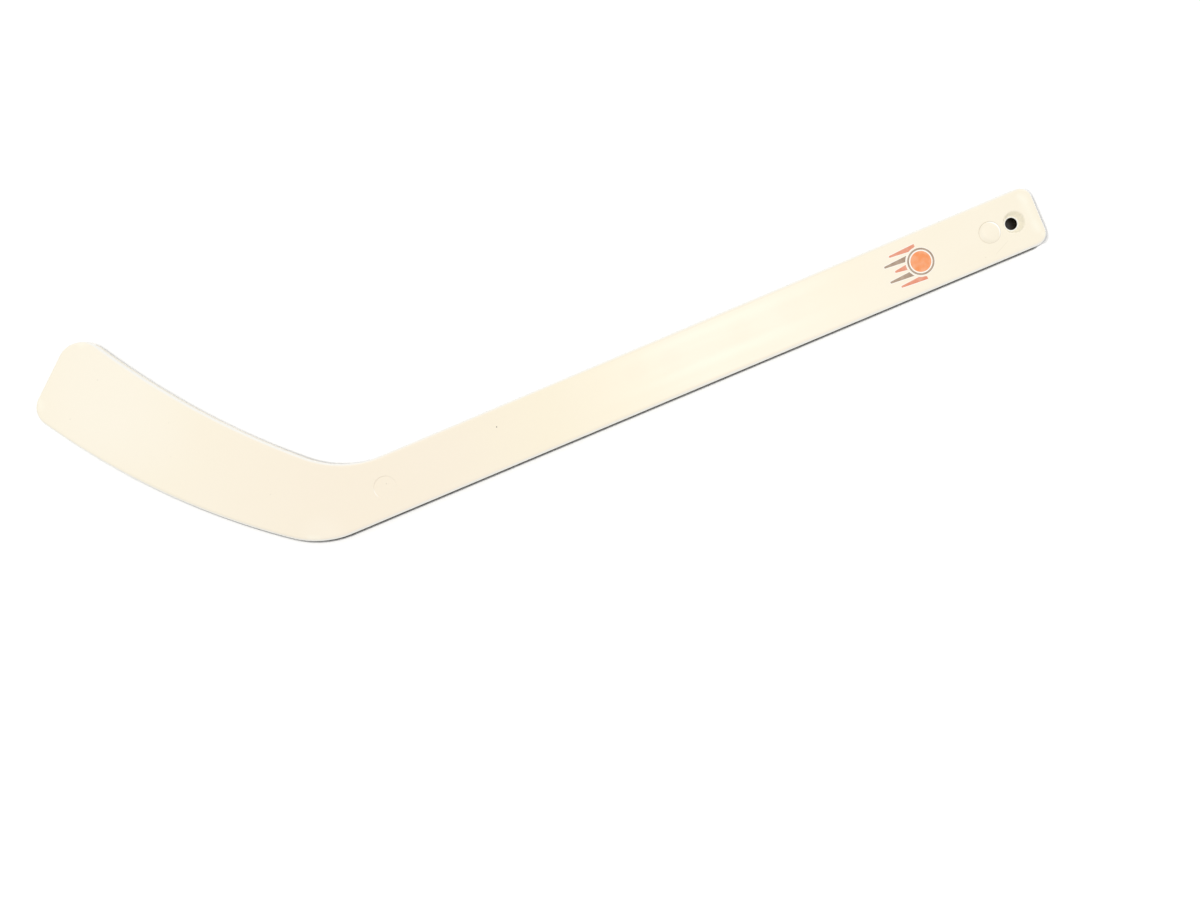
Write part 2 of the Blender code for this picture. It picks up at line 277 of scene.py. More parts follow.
def sinkDepth(xy):
    # How far the real face lies under a true flat one: a circle's roll before the butt end, a parabola's
    # trough down the shaft, sine waves of unlike lengths in mm, and a bell-shaped nick, all added up
    x, y = xy[..., 0], xy[..., 1]
    s, k = stick, sinks
    intoRoll = np.clip(x - s["shaftLength"] + k["buttRollLength"], 0, k["buttRollLength"])
    roll = k["buttRoll"] - np.sqrt(k["buttRoll"] ** 2 - intoRoll ** 2)

    middle = (y - s["shaftWidth"] / 2) / (s["shaftWidth"] / 2)
    onShaft = smoothStep(x, *k["troughStart"]) * (1 - smoothStep(x, *k["troughEnd"]))
    trough = k["trough"] * onShaft * np.clip(1 - middle ** 2, 0, 1)

    waves = (np.sin(x / 17.0 + 0.6 * np.sin(y / 9.0)) * np.sin(y / 11.0 + 1.1)
             + 0.6 * np.sin(x / 8.3 + y / 6.1 + 2.0) + 0.4 * np.sin(x / 31.0 - y / 23.0))
    highest = 1.0 + 0.6 + 0.4

    fromNick = np.hypot(*np.moveaxis((xy - k["nickPlace"]) / k["nickSize"], -1, 0))
    nick = k["nickDepth"] * np.exp(-fromNick ** 2)
    return roll + trough + k["waves"] * (highest + waves) + nick


def settled(xy, height):
    # Points of the sketch with a height: above the middle of the thickness, they go down with the sinks
    half = stick["thickness"] / 2
    share = np.clip((height - half) / half, 0, 1)
    return np.concatenate((xy, (height - share * sinkDepth(xy))[..., None]), -1)


# Meshes from grids of points

def addObject(name, data):
    # Puts a mesh, a light or a camera into the scene
    added = bpy.data.objects.new(name, data)
    bpy.context.scene.collection.objects.link(added)
    return added


meshing = {
    "mergeWithin": 1e-6,  # metres
    "shortestEdge": 1e-7,
    "sharpFrom": 40.0,  # degrees between two faces
}


def gridQuads(rows, columns, begun):
    # Four corners of each cell in a grid of points that are numbered row by row
    number = begun + np.arange(rows * columns).reshape(rows, columns)
    return np.stack((number[:-1, :-1], number[1:, :-1], number[1:, 1:], number[:-1, 1:]), -1)


def meshPiece(name, grids, material, nodes):
    # One closed piece from grids of sketch points, which may each leave cells out: seams and poles merge
    points, quads, begun = [], [], 0
    for grid, kept in grids:
        rows, columns = grid.shape[:2]
        cells = gridQuads(rows, columns, begun)
        quads.append(cells[kept] if kept is not None else cells.reshape(-1, 4))
        points.append(grid.reshape(-1, 3))
        begun += rows * columns
    places = (np.concatenate(points) - np.append(sketchMiddle, 0.0)) * 0.001
    mesh = bpy.data.meshes.new(name)
    mesh.from_pydata(places.tolist(), [], np.concatenate(quads).tolist())

    shape = bmesh.new()
    shape.from_mesh(mesh)
    bmesh.ops.remove_doubles(shape, verts=shape.verts, dist=meshing["mergeWithin"])
    bmesh.ops.dissolve_degenerate(shape, edges=shape.edges, dist=meshing["shortestEdge"])
    bmesh.ops.recalc_face_normals(shape, faces=shape.faces)
    openEdges = sum(len(edge.link_faces) != 2 for edge in shape.edges)
    shape.to_mesh(mesh)
    shape.free()
    mesh.shade_smooth()
    mesh.set_sharp_from_angle(angle=math.radians(meshing["sharpFrom"]))
    mesh.materials.append(material)

    piece = addObject(name, mesh)
    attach(piece, "root")
    if nodes:
        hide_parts(*nodes)
    print(f"{name}: {len(mesh.polygons)} faces, {openEdges} open edges")
    return piece


# The moulding

edges = {
    "rounding": 2.0,  # radius of both rims
    "roundingSteps": 10,
    "draft": 0.05,  # how far the wall leans in from the parting line to each rim
    "draftLeft": 0.1,  # share of that lean where the ridge begins
    "partingRise": 0.05,  # ridge that the two mould halves leave round the wall
    "partingWidth": 0.30,
}


def wallProfile():
    # Insets and heights from the front rim down a quarter round, the leaning wall and the ridge to the
    # middle of the thickness, and the same again down to the back rim
    e, t = edges, stick["thickness"]
    angle = np.linspace(0, math.pi / 2, e["roundingSteps"] + 1)
    reach = e["rounding"] - e["draft"] - e["partingRise"]
    foot = e["partingRise"]
    inset = np.append(e["rounding"] - reach * np.sin(angle), (foot + e["draft"] * e["draftLeft"], foot, 0.0))
    height = np.append(t - e["rounding"] * (1 - np.cos(angle)),
                       (t / 2 + e["partingWidth"], t / 2 + e["partingWidth"] / 2, t / 2))
    return np.append(inset, inset[-2::-1]), np.append(height, t - height[-2::-1])


def ringAngles(count):
    # Angles of a ring's points, which run clockwise from the corner between +x and -y and close up
    return -math.pi / 4 - np.linspace(0, 2 * math.pi, count)


def deeperTowards(count, side, share):
    # A factor for the depth at each of a ring's points: the cosine's swing about 1, highest on one side
    return 1 + share * np.cos(ringAngles(count) - math.radians(side))


def roundRows(ring, centre, radii, heights, blendRows=6):
    # A square ring of points drawn into a circle by even steps, then circles on towards the middle.
    # Point number i lies at the ring's first angle less i shares of a full turn.
    closed = np.vstack((ring, ring[:1]))
    circle = around(ringAngles(len(closed)))
    share = np.linspace(0, 1, blendRows + 1)[:, None, None]
    blend = closed * (1 - share) + (centre + radii[0] * circle) * share
    circles = centre + np.asarray(radii[1:])[:, None, None] * circle
    xy = np.concatenate((blend, circles))
    height = np.concatenate((np.full(blendRows + 1, heights[0]), heights[1:]))
    return xy, np.broadcast_to(height[:, None], xy.shape[:2])


def sectionArc(start, end, radius, bulge, steps):
    # An arc between two points of a section: bulge 1 arches to the left of the way, -1 to the right
    start, end = np.array(start), np.array(end)
    chord = end - start
    rise = math.sqrt(radius ** 2 - chord @ chord / 4)
    centre = (start + end) / 2 + unit(np.array((chord[1], -chord[0]))) * rise * bulge
    sweep = math.degrees(2 * math.asin(np.hypot(*chord) / (2 * radius))) * -bulge
    return [centre + turned(start - centre, sweep * step / steps) for step in range(steps + 1)]


hole = {
    "toButt": 14.7,
    "mouth": 11.3,  # diameters: the mouth's is where the bowl's wall begins, under the lip
    "neck": 6.65,
    "lipRadius": 1.1,
    "lipTurn": 60.0,  # degrees that the lip turns down from the face
    "bowlRadius": 10.0,
    "landWidth": 0.5,  # flat rim round the neck
    "landHeight": 0.28,  # of that rim over the middle of the thickness
    "neckRadius": 0.12,  # of the edge between that rim and the neck
    "paintedGlint": {"width": 0.50, "soft": 0.15},  # painted highlight: a pale line along the neck's edge
    "paintedBowlLight": {"radius": 5.9, "soft": 0.8},  # painted light: the bowl is made paler, standing in for light that bounces round inside it
}


def holeProfile():
    # Radii and heights of a section of arcs: lip, bowl, flat land and the neck's edge. It is followed by
    # its mirror image below the middle of the thickness, down to the back face.
    h, half = hole, stick["thickness"] / 2
    mouth, neck, land = h["mouth"] / 2, h["neck"] / 2, h["landHeight"]
    turn = math.radians(h["lipTurn"])
    lipStart = (mouth + h["lipRadius"] * math.sin(turn), half)
    lipFoot = (mouth, half - h["lipRadius"] * (1 - math.cos(turn)))
    lip = sectionArc(lipStart, lipFoot, h["lipRadius"], -1, steps=7)
    bowl = sectionArc(lip[-1], (neck + h["landWidth"], land), h["bowlRadius"], 1, steps=14)
    edge = sectionArc((neck + h["neckRadius"], land), (neck, land - h["neckRadius"]),
                      h["neckRadius"], -1, steps=3)
    upper = np.array(lip + bowl[1:] + edge)
    section = np.vstack((upper, upper[::-1] * (1, -1)))
    return section[:, 0], section[:, 1] + half


crown = {
    "toButt": 28.8,
    "diameter": 12.0,
    "flatRing": 0.15,  # width of face outside of the groove whose points already lie on circles
    "grooveWidth": 0.38,
    "grooveDepth": 0.14,
    "grooveFullness": 0.8,  # power of the groove's sine: under 1, so that its bottom is broad
    "grooveUneven": 0.70,  # share by which the groove is deeper on its deep side
    "grooveDeepSide": 155.0,  # degrees from the shaft's line
    "grooveCircles": 9,
    "rise": 0.42,
    "fullness": 3.0,  # power of the falling curve: the higher, the flatter the top and the steeper the rim
    "topAside": 2.2,  # how far the top lies off the middle
    "topSide": 30.0,
    "rimSunk": 0.26,  # by which the cap's rim lies lower on its low side
    "rimLowSide": 187.0,
    "capCircles": 24,
    "line": {"width": 0.30, "soft": 0.1, "dark": 0.17},  # painted shade in the groove
    # Crescents inside the groove, the first a painted highlight on the cap's rim and the second painted
    # shade on the cap's low side: they are widest at their side and go round from there by their reach, in
    # degrees
    "paintedGlint": {"width": 0.80, "side": 20.0, "reach": 62.0, "soft": 0.3},
    "paintedShadeCrescent": {"width": 2.0, "side": 204.0, "reach": 75.0, "soft": 2.0, "dark": 0.06},
}


def crownGrid(ring, centre):
    # A round groove, deeper on one side, then a cap: its height falls from the top by a power of the
    # distance to it. The cap's circles close in on the top, which lies a little off the middle.
    c = crown
    outside = c["diameter"] / 2
    inside = outside - c["grooveWidth"]
    share = np.linspace(0, 1, c["grooveCircles"])
    groove = outside - c["grooveWidth"] * share
    depth = -c["grooveDepth"] * np.sin(share * math.pi) ** c["grooveFullness"]
    cap = np.linspace(inside, 0, c["capCircles"])[1:]
    swell = c["rise"] * (1 - (cap / inside) ** c["fullness"])
    radii = np.concatenate(((outside + c["flatRing"],), groove, cap))
    heights = stick["thickness"] + np.concatenate(((0.0,), depth, swell))
    xy, height = roundRows(ring, centre, radii, heights)

    height = height.copy()
    grooveRows = slice(-len(cap) - len(groove), -len(cap))
    capRows = slice(-len(cap), None)
    uneven = deeperTowards(xy.shape[1], c["grooveDeepSide"], c["grooveUneven"]) - 1
    rimDrop = c["rimSunk"] * deeperTowards(xy.shape[1], c["rimLowSide"], 1.0) / 2
    height[grooveRows] += depth[:, None] * uneven - share[:, None] * rimDrop
    height[capRows] -= (cap / inside)[:, None] ** 2 * rimDrop
    xy[capRows] += (1 - cap / inside)[:, None, None] * (c["topAside"] * pointing(c["topSide"]))
    return xy, height


gate = {
    "toHeel": 42.6,
    "aside": -0.5,  # from the shaft's middle towards the upper edge
    "diameter": 12.5,
    "depth": 0.15,
    "stepWidth": 0.18,
    "stepCircles": 6,
    "tilt": 0.75,  # share by which the disc is deeper on its deep side
    "deepSide": 125.0,  # degrees from the shaft's line
    "wideCircles": (0.5, 2.2, 6),  # the first's distance from the edge, the last's radius, and how many
    "closeCircles": (2.0, 0.0, 21),  # first and last radius, and how many
    "stubDiameter": 0.9,
    "stubRise": 0.12,
    "stubSlope": 0.12,  # width of its side
    "stubAt": (1.4, 1.5),  # from the disc's middle
    "line": {"width": 0.25, "soft": 0.1, "dark": 0.02},  # painted shade along the step
    "paintedGlint": {"width": 0.20, "side": 187.0, "reach": 24.0, "soft": 0.15},  # crescents inside the step: a painted glint, and painted shade in the next
    "paintedShadeCrescent": {"width": 0.30, "side": 124.0, "reach": 78.0, "soft": 0.15, "dark": 0.07},
}


def gateGrid(ring, centre):
    # An S-shaped step down to a disc, which gets deeper evenly across, and the gate's round stub on it
    g = gate
    outside = g["diameter"] / 2
    inwards = np.linspace(0, g["stepWidth"], g["stepCircles"])
    margin, lastRadius, count = g["wideCircles"]
    disc = np.append(np.linspace(outside - margin, lastRadius, count), np.linspace(*g["closeCircles"]))
    drop = -g["depth"] * np.append(smoothStep(inwards, 0, g["stepWidth"]), np.ones(len(disc)))
    xy, sunk = roundRows(ring, centre, np.append(outside - inwards, disc), drop)

    deeper = 1 + g["tilt"] * ((xy - centre) @ pointing(g["deepSide"])) / outside
    fromStub = np.hypot(*np.moveaxis(xy - centre - g["stubAt"], -1, 0))
    stubRadius = g["stubDiameter"] / 2
    stub = g["stubRise"] * (1 - smoothStep(fromStub, stubRadius - g["stubSlope"], stubRadius))
    return xy, stick["thickness"] + sunk * deeper + stub


def markFromEdge(mesh, loop):
    # Gives each point its distance from the nearest point of the outline, seen from above, in mm
    flat = np.empty(len(mesh.vertices) * 3)
    mesh.vertices.foreach_get("co", flat)
    places = flat.reshape(-1, 3)[:, :2] * 1000 + sketchMiddle
    nearest = np.full(len(places), np.inf)
    for point in loop:
        nearest = np.minimum(nearest, np.hypot(*(places - point).T))
    mesh.attributes.new("from_edge", "FLOAT", "POINT").data.foreach_set("value", nearest)


def makeMoulding(material):
    # Both faces are straight rungs from one inner rim to the other. The wall is the outline carried
    # through its profile, and each round mark fills a square block that the faces leave out.
    s, e = stick, edges
    lower, upper = stickEdges()
    lowerWay, upperWay, blockStarts = layRungs(lower, upper)
    lowerPoints, lowerOut = alongEdge(lower, lowerWay, 1)
    upperPoints, upperOut = alongEdge(upper, upperWay, -1)

    across = np.linspace(0, 1, rungs["across"] + 1)[None, :, None]
    lowerRim = (lowerPoints - e["rounding"] * lowerOut)[:, None]
    upperRim = (upperPoints - e["rounding"] * upperOut)[:, None]
    face = lowerRim * (1 - across) + upperRim * across
    block = rungs["across"] // 2
    firstColumn = rungs["across"] // 4

    def blockRing(firstRow):
        top, left = firstRow + block, firstColumn + block
        return np.concatenate((face[firstRow:top, firstColumn], face[top, firstColumn:left],
                               face[top:firstRow:-1, left], face[firstRow, left:firstColumn:-1]))

    def without(*names):
        kept = np.ones((face.shape[0] - 1, face.shape[1] - 1), bool)
        for name in names:
            row = blockStarts[name]
            kept[row:row + block, firstColumn:firstColumn + block] = False
        return kept

    grids = [
        (settled(face, np.full(face.shape[:2], s["thickness"])), without("hole", "crown", "gate")),
        (settled(face, np.zeros(face.shape[:2])), without("hole")),
    ]

    # Wall
    endShare = np.linspace(0, 1, rungs["across"] + 1)[1:-1, None]
    toeRow = lowerPoints[-1] * (1 - endShare) + upperPoints[-1] * endShare
    buttRow = upperPoints[0] * (1 - endShare) + lowerPoints[0] * endShare
    loop = np.concatenate((lowerPoints, toeRow, upperPoints[::-1], buttRow, lowerPoints[:1]))
    out = np.concatenate((lowerOut, np.repeat(lowerOut[-1:], len(toeRow), 0), upperOut[::-1],
                          np.repeat(upperOut[:1], len(buttRow), 0), lowerOut[:1]))
    insets, heights = wallProfile()
    wall = loop[None] - insets[:, None, None] * out[None]
    rim = loop - e["rounding"] * out
    share = np.clip((heights - s["thickness"] / 2) / (s["thickness"] / 2), 0, 1)[:, None]
    wallHeight = heights[:, None] - share * sinkDepth(rim)[None]
    grids.append((np.concatenate((wall, wallHeight[..., None]), -1), None))

    # Round marks: the hole from the front to the back, then the back face's own ring round its mouth
    radii, heights = holeProfile()
    holeRing = blockRing(blockStarts["hole"])
    for part in (slice(None), slice(-1, None)):
        grids.append((settled(*roundRows(holeRing, centreOf(hole), radii[part], heights[part])), None))
    grids.append((settled(*crownGrid(blockRing(blockStarts["crown"]), centreOf(crown))), None))
    grids.append((settled(*gateGrid(blockRing(blockStarts["gate"]), centreOf(gate))), None))
    skin = meshPiece("stick_skin", grids, material, ["stick_moulding"])
    markFromEdge(skin.data, loop)


# The print: a puck, drawn as a disc in a ring, with tapering streaks behind it, on a white under-base

ink = {
    "toButt": 74.5,  # to the middle of the print
    "length": 26.5,
    "puck": 14.5,  # diameter
    "ringWidth": 1.0,
    "ringGap": 0.7,
    "streaks": 5,
    "pitch": 4.3,
    "height": 2.9,  # of a streak at the puck
    "tailHeight": 1.0,
    "stagger": 4.5,  # by which every other streak is shorter
    "toPuck": 1.0,
    "film": 0.018,
    "baseFilm": 0.014,
    "filmGap": 0.004,  # between two films, and under the lower one
    "baseGrown": 0.35,  # how far the white under-base stands out round the colours
    "colours": {"orange": "#F5904B", "salmon": "#E48969", "grey": "#9F8570"},
    "roughness": 0.5,
    "base": "#FFFCF4",
    "baseRoughness": 0.55,
}


def filmPiece(name, sheet, lift, thick, material, nodes, slack=1e-6):
    # A closed film from a grid of flat points: the same grid at two heights, with a wall along each edge
    # that is neither a single point, within the slack, nor a seam where the grid meets itself
    top = stick["thickness"] + lift + thick
    upper = settled(sheet, np.full(sheet.shape[:2], top))
    lower = settled(sheet, np.full(sheet.shape[:2], top - thick))
    grids = [(upper, None), (lower, None)]
    seamed = np.allclose(sheet[:, 0], sheet[:, -1])
    for edge in (np.s_[0, :], np.s_[-1, :], np.s_[:, 0], np.s_[:, -1])[:2 if seamed else 4]:
        if np.ptp(sheet[edge], axis=0).max() > slack:
            grids.append((np.stack((upper[edge], lower[edge])), None))
    meshPiece(name, grids, material, nodes)


def annulus(inside, outside, rows=6, columns=97):
    # Rings of points between two radii about the puck's centre, closed on themselves
    centre = centreOf(ink) + ((ink["length"] - ink["puck"]) / 2, 0.0)
    radius = np.linspace(inside, outside, rows)[:, None, None]
    angle = np.linspace(0, 2 * math.pi, columns)
    return centre + radius * around(angle)


def streakSheet(index, grown=0.0, rows=45, columns=9, crowding=1.5):
    # One streak as a grid: along it from tail to puck, across it from edge to edge. Its half height grows
    # evenly from the tail, which is rounded by a circle's formula, and its head follows the puck. The
    # rows are crowded at the tail, by a power of their share of the way.
    i = ink
    aside = (index - (i["streaks"] - 1) / 2) * i["pitch"]
    tail = -i["length"] / 2 + i["stagger"] * (index % 2 == 0) - grown
    puckX = (i["length"] - i["puck"]) / 2
    clear = i["puck"] / 2 + i["toPuck"] - grown
    along = np.linspace(0, 1, rows)[:, None] ** crowding
    across = np.linspace(-1, 1, columns)[None, :]
    tailHalf, headHalf = i["tailHeight"] / 2 + grown, i["height"] / 2 + grown
    intoTail = np.minimum(i["puck"] * along / tailHalf, 1.0)
    half = (tailHalf + (headHalf - tailHalf) * along) * np.sqrt(1 - (1 - intoTail) ** 2)
    y = aside + half * across
    head = puckX - np.sqrt(np.clip(clear ** 2 - y ** 2, 0.0, None))
    x = tail + (head - tail) * along
    return centreOf(ink) + np.stack((x, y), -1)


def makePrint():
    # The white films lie a hair above the face, and the colours a hair above those
    i = ink
    baseLift = i["filmGap"]
    colourLift = baseLift + i["baseFilm"] + i["filmGap"]
    white = printInk("white_under_base_ink", i["base"], i["baseRoughness"])
    inks = {colour: printInk(f"{colour}_pad_print_ink", hexValue, i["roughness"])
            for colour, hexValue in i["colours"].items()}
    outside = i["puck"] / 2
    inside = outside - i["ringWidth"]
    disc = inside - i["ringGap"]
    films = [
        ("ring_film", annulus(inside, outside), "grey", "print_puck_ring"),
        ("disc_film", annulus(0, disc, rows=14), "orange", "print_puck_disc"),
    ]
    for index in range(i["streaks"]):
        colour = "grey" if index % 2 else "salmon"
        films.append((f"streak_film_{index + 1}", streakSheet(index), colour, f"print_streak_{index + 1}"))
        base = streakSheet(index, i["baseGrown"])
        filmPiece(f"streak_base_{index + 1}", base, baseLift, i["baseFilm"], white, [])
    for name, sheet, colour, node in films:
        filmPiece(name, sheet, colourLift, i["film"], inks[colour], [node])
    base = annulus(0, outside + i["baseGrown"], rows=16)
    filmPiece("puck_base", base, baseLift, i["baseFilm"], white, [])


# Materials

def colourFrom(hexValue):
    # sRGB hex to the linear colour that shaders take
    parts = [int(hexValue[place:place + 2], 16) / 255 for place in (1, 3, 5)]
    return [part / 12.92 if part <= 0.04045 else ((part + 0.055) / 1.055) ** 2.4 for part in parts] + [1.0]


def addNode(tree, kind, inputs=None, **settings):
    # A shader node with its settings. Each input is a value, an output, or a node for its first output.
    node = tree.nodes.new("ShaderNode" + kind)
    for name, value in settings.items():
        setattr(node, name, value)
    for name, value in (inputs or {}).items():
        if isinstance(value, bpy.types.Node):
            value = value.outputs[0]
        if isinstance(value, bpy.types.NodeSocket):
            tree.links.new(value, node.inputs[name])
        else:
            node.inputs[name].default_value = value
    return node


def newMaterial(name):
    # An empty material and its tree
    material = bpy.data.materials.new(name)
    material.use_nodes = True
    material.node_tree.nodes.clear()
    return material, material.node_tree


def painted(tree, hexValue, coats):
    # A colour under coats of others, each mixed in by its mask times its strength
    colour = colourFrom(hexValue)
    for mask, coatHex, strength in coats:
        share = addNode(tree, "Math", {0: mask, 1: strength}, operation="MULTIPLY")
        mix = addNode(tree, "Mix", {0: share, 6: colour, 7: colourFrom(coatHex)}, data_type="RGBA")
        colour = mix.outputs[2]
    return colour


def farFrom(tree, value, level):
    # How far a value lies from a level, to either side
    apart = addNode(tree, "Math", {0: value, 1: level}, operation="SUBTRACT")
    return addNode(tree, "Math", {0: apart}, operation="ABSOLUTE")


def nearMask(tree, place, point, full, ended, fading="SMOOTHSTEP"):
    # 1 up to one distance from a point, and down to 0 at another, in mm
    apart = addNode(tree, "VectorMath", {0: place, 1: point}, operation="DISTANCE")
    return addNode(tree, "MapRange",
                   {"Value": apart.outputs["Value"], "From Min": full * 0.001, "From Max": ended * 0.001,
                    "To Min": 1.0, "To Max": 0.0}, interpolation_type=fading)


def discMask(tree, flat, centre, radius, soft):
    # 1 inside a circle about a sketch point, with a soft edge
    return nearMask(tree, flat, inScene(centre, 0.0), radius - soft / 2, radius + soft / 2)


def ringMask(tree, flat, centre, radius, line):
    # 1 on a line along a circle: a disc less a smaller one
    outer = discMask(tree, flat, centre, radius + line["width"] / 2, line["soft"])
    inner = discMask(tree, flat, centre, radius - line["width"] / 2, line["soft"])
    return addNode(tree, "Math", {0: outer, 1: inner}, operation="SUBTRACT", use_clamp=True)


def crescentMask(tree, flat, centre, radius, crescent, outerSoft=0.2):
    # 1 on a crescent just inside a circle: the circle less another one that is moved away from the side
    # where the crescent is widest, so far that both circles cross near the crescent's reach from there
    cosReach = math.cos(math.radians(crescent["reach"]))
    moved = crescent["width"] / (1 - cosReach)
    outer = discMask(tree, flat, centre, radius, outerSoft)
    inner = discMask(tree, flat, centre - moved * pointing(crescent["side"]),
                     radius + moved * cosReach, crescent["soft"])
    return addNode(tree, "Math", {0: outer, 1: inner}, operation="SUBTRACT", use_clamp=True)


def lineMask(tree, place, start, end, width):
    # 1 on a line between two points of the face, fading evenly to 0 at its width away from the line's
    # nearest point
    begin, finish = (inScene(point, stick["thickness"]) for point in (start, end))
    length = np.linalg.norm(finish - begin)
    heading = (finish - begin) / length
    offset = addNode(tree, "VectorMath", {0: place, 1: begin}, operation="SUBTRACT")
    along = addNode(tree, "VectorMath", {0: offset, 1: heading}, operation="DOT_PRODUCT")
    held = addNode(tree, "Clamp", {"Value": along.outputs["Value"], "Min": 0.0, "Max": length})
    foot = addNode(tree, "VectorMath", {0: heading, "Scale": held}, operation="SCALE")
    return nearMask(tree, offset, foot, 0.0, width, "LINEAR")


ivory = {
    "colour": "#F9EFD8",
    "paler": "#FAF2DF",
    "patchSize": 45.0,  # mm, of the slight change of colour
    "tints": (  # middle, where it is full and where it ends in mm, strength and colour
        ((40.0, 20.0), (20.0, 130.0), 0.75, "#F8ECD8"),
        ((150.0, 18.0), (15.0, 75.0), 0.40, "#F9EED2"),
        # the next is painted light: the heel's outer edge made paler where more light falls on it
        ((2.0, 4.0), (4.0, 16.0), 0.35, "#FCF3E2"),
        ((-75.0, 118.0), (10.0, 60.0), 0.60, "#FBF4E3"),
    ),
    "rim": "#FBFAF5",  # painted highlight: both rounded rims are made paler, standing in for the light and sheen that they catch
    "rimWidth": (0.1, 1.6),  # mm from the outline: paler up to the first, and fading out to the second
    "rimHeight": (0.8, 2.0),  # mm off the middle of the thickness: none up to the first, full at the second
    # painted light: the colour of the paler bowl round the hole
    "paintedBowlLight": "#FFF8E4",
    "paintedGlintColour": "#FFFFFB",  # painted highlight, for the glints on the neck's edge and inside both marks
    "dirtAndPaintedShade": "#2B2622",  # of specks and the scratch, and of painted shade in blotches and in the marks' lines and crescents
    "specks": (  # place and radius in mm, and how dark each is
        ((109.5, 22.5), 0.30, 0.95),
        ((-76.0, 127.5), 0.35, 0.10),
        ((-97.5, 114.0), 0.35, 0.10),
        ((-56.0, 75.0), 0.30, 0.08),
        ((-15.0, 36.0), 0.35, 0.08),
        ((-50.0, 92.0), 0.30, 0.08),
        ((383.6, 4.9), 0.30, 0.12),
        ((43.9, 17.6), 0.30, 0.25),
        ((49.9, 11.6), 0.25, 0.08),
        ((189.0, 21.0), 6.0, 0.012),  # these four are painted shade: wide darker blotches where the shaft's sheen is weaker
        ((209.0, 20.0), 5.5, 0.012),
        ((248.5, 20.0), 6.0, 0.014),
        ((277.0, 20.0), 7.0, 0.014),
    ),
    "speckFade": (0.5, 1.5),  # its radii from its middle where a speck starts to fade and where it ends
    "scratch": ((397.9, 8.4), (389.6, 4.4), 0.22, 0.10),  # start, end, width and strength
    # painted highlight colour for the streaks below
    "paintedHighlight": "#FDF8E6",
    "paintedHighlights": (  # painted highlights: soft streaks on the rounded corners and before the butt end, given in the same way
        ((413.7, 26.0), (414.6, 9.4), 4.0, 0.60),
        ((412.4, 28.0), (414.4, 24.4), 2.2, 0.60),
        ((414.4, 12.0), (415.2, 7.6), 2.2, 0.60),
        ((416.8, 4.6), (417.8, 3.4), 1.8, 0.60),
        ((-74.0, 149.4), (-76.5, 148.4), 3.0, 0.60),
        ((-109.0, 128.5), (-109.2, 126.0), 3.0, 0.60),
        ((-1.0, 4.6), (-4.6, 6.6), 2.4, 0.50),
    ),
    "ior": 1.53,
    "roughness": 0.30,
    "dull": 0.08,  # roughness added between the polished streaks
    "flowSize": (60.0, 5.0),  # mm, along and across the shaft, of the flow marks
    "flowSpan": (0.3, 0.7),  # values of their noise where they are least and most dull
    "flowLeast": 0.35,  # share of the dullness that is left where they are least dull
    "polished": ((26.6, 2.6), (11.0, 2.4)),  # two streaks: middle and half width, mm up from the lower edge
    "polishedFade": 1.5,  # half widths from a streak's middle to where it has ended
    "polishedLeast": 0.25,  # share of the dullness that is left in the middle of a streak
    "raggedSize": (11.0, 2.5),  # mm, of the waves in their edges
    "ragged": 1.6,  # mm, how far those waves reach
    "grainSize": 1.1,  # mm: the real grain is finer than a pixel, so it is drawn coarser
    "grainHeight": 0.004,
}


def roundMarkCoats(tree, flat):
    # Masks, colours and strengths of painted light and shade round the hole and both marks: the paler bowl,
    # the highlight along the neck edge, the highlight and shade crescents and the shade in the lines round
    # both marks
    holeAt, crownAt, gateAt = (centreOf(mark) for mark in (hole, crown, gate))
    paintedBowlLight, neckGlint = hole["paintedBowlLight"], hole["paintedGlint"]
    neck = hole["neck"] / 2 + neckGlint["width"]
    cap = crown["diameter"] / 2 - crown["grooveWidth"]
    groove = cap + crown["grooveWidth"] / 2
    disc = gate["diameter"] / 2
    step = disc - gate["stepWidth"] / 2
    dirtAndPaintedShade, paintedGlintColour = ivory["dirtAndPaintedShade"], ivory["paintedGlintColour"]
    return [
        (discMask(tree, flat, holeAt, paintedBowlLight["radius"], paintedBowlLight["soft"]), ivory["paintedBowlLight"], 1.0),
        (discMask(tree, flat, holeAt, neck, neckGlint["soft"]), paintedGlintColour, 1.0),
        (crescentMask(tree, flat, crownAt, cap, crown["paintedShadeCrescent"]), dirtAndPaintedShade, crown["paintedShadeCrescent"]["dark"]),
        (crescentMask(tree, flat, crownAt, cap, crown["paintedGlint"]), paintedGlintColour, 1.0),
        (ringMask(tree, flat, crownAt, groove, crown["line"]), dirtAndPaintedShade, crown["line"]["dark"]),
        (ringMask(tree, flat, gateAt, step, gate["line"]), dirtAndPaintedShade, gate["line"]["dark"]),
        (crescentMask(tree, flat, gateAt, disc, gate["paintedShadeCrescent"]), dirtAndPaintedShade, gate["paintedShadeCrescent"]["dark"]),
        (crescentMask(tree, flat, gateAt, disc, gate["paintedGlint"]), paintedGlintColour, 1.0),
    ]


